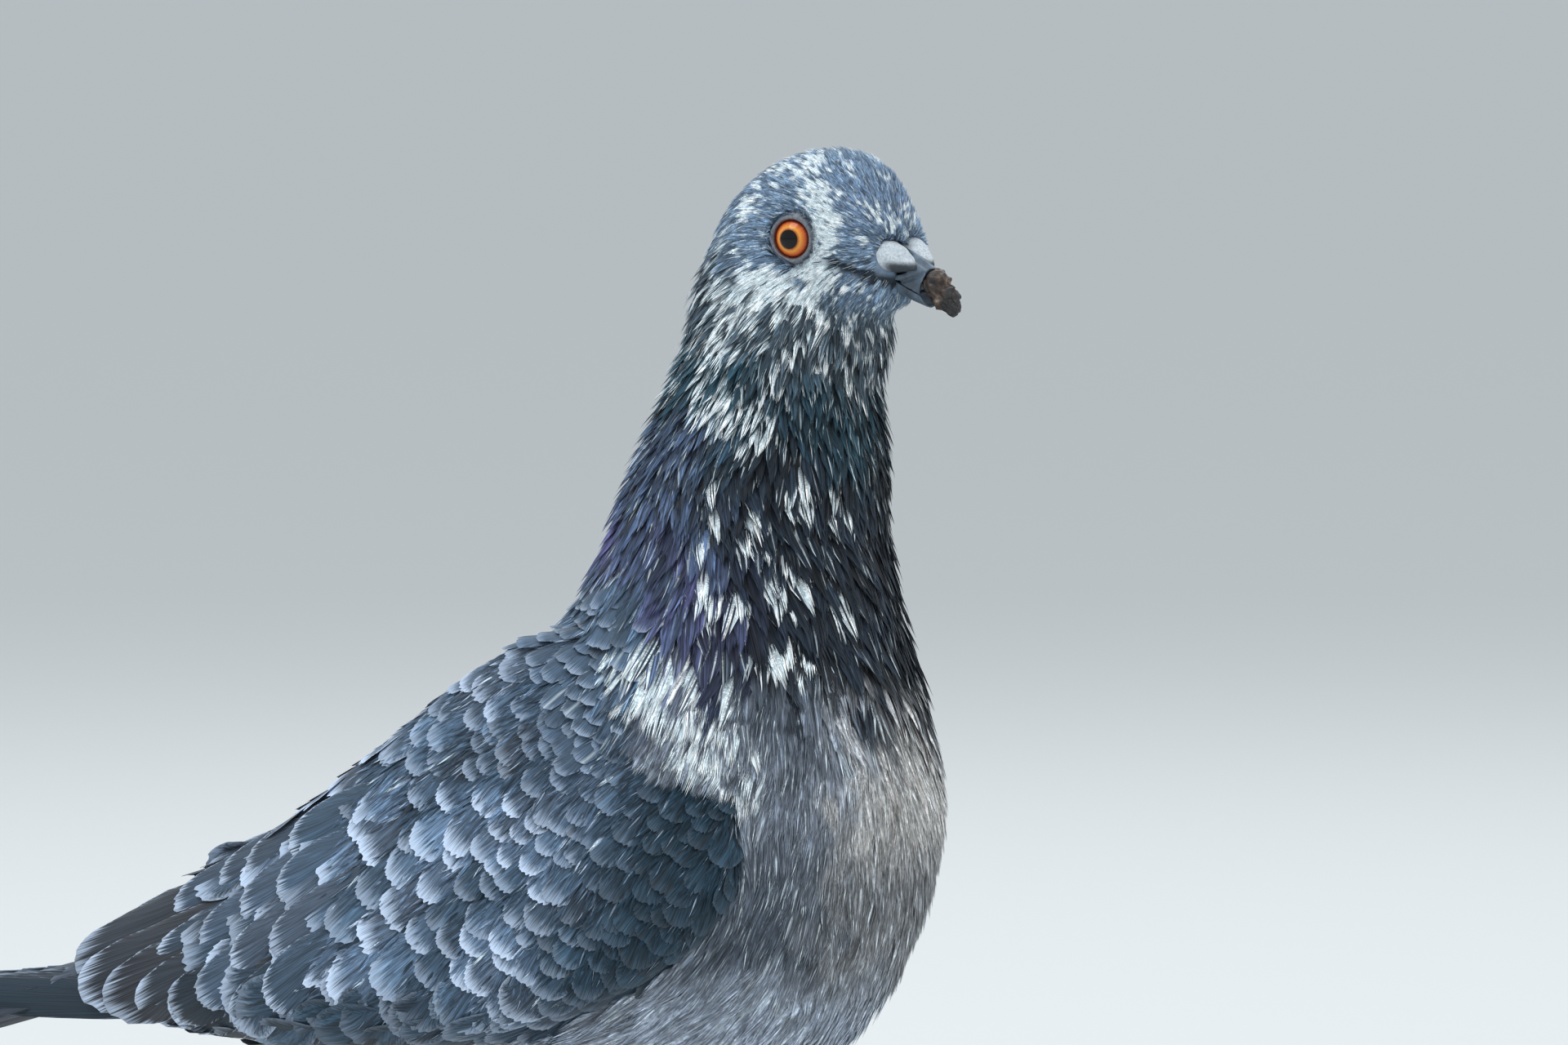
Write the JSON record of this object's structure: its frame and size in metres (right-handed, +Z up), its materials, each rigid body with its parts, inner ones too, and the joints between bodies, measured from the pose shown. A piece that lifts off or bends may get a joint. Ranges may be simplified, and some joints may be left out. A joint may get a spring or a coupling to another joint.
{
  "type": "pigeon",
  "caption": "Life-size still model of a standing feral pigeon, wings folded and head turned to its right, feet flat on the floor.",
  "frame": {"origin": "middle of the bird's box, on the floor that the feet stand on", "axes": "+X towards the breast, +Y to the bird's left, +Z up"},
  "size_m": [0.28, 0.0974, 0.2558],
  "materials": {
    "slate_feathers": "soft feathers, pale-edged",
    "neck_feathers": "glossy iridescent feathers with white flecks",
    "head_feathers": "short soft feathers with white streaks",
    "flight_feathers": "smooth vaned feathers",
    "leg_skin": "scaled red skin",
    "claw_horn": "dark polished horn",
    "bill_horn": "satin slate-grey horn",
    "cere_skin": "dry chalky skin",
    "crust": "rough dry dirt",
    "eye": "wet glossy iris and black pupil"
  },
  "bodies": {
    "root": {"trunk": "slate_feathers", "neck": "neck_feathers", "head": "head_feathers", "bill_upper": "bill_horn", "bill_lower": "bill_horn", "bill_crust": "crust", "tail": "flight_feathers", "eye_left": "eye", "cere_left": "cere_skin", "wing_left": "slate_feathers", "primaries_left": "flight_feathers", "thigh_left": "slate_feathers", "tarsus_left": "leg_skin", "toe_inner_left": "leg_skin", "claw_inner_left": "claw_horn", "toe_middle_left": "leg_skin", "claw_middle_left": "claw_horn", "toe_outer_left": "leg_skin", "claw_outer_left": "claw_horn", "toe_hind_left": "leg_skin", "claw_hind_left": "claw_horn", "eye_right": "eye", "cere_right": "cere_skin", "wing_right": "slate_feathers", "primaries_right": "flight_feathers", "thigh_right": "slate_feathers", "tarsus_right": "leg_skin", "toe_inner_right": "leg_skin", "claw_inner_right": "claw_horn", "toe_middle_right": "leg_skin", "claw_middle_right": "claw_horn", "toe_outer_right": "leg_skin", "claw_outer_right": "claw_horn", "toe_hind_right": "leg_skin", "claw_hind_right": "claw_horn"}
  },
  "joints": []
}
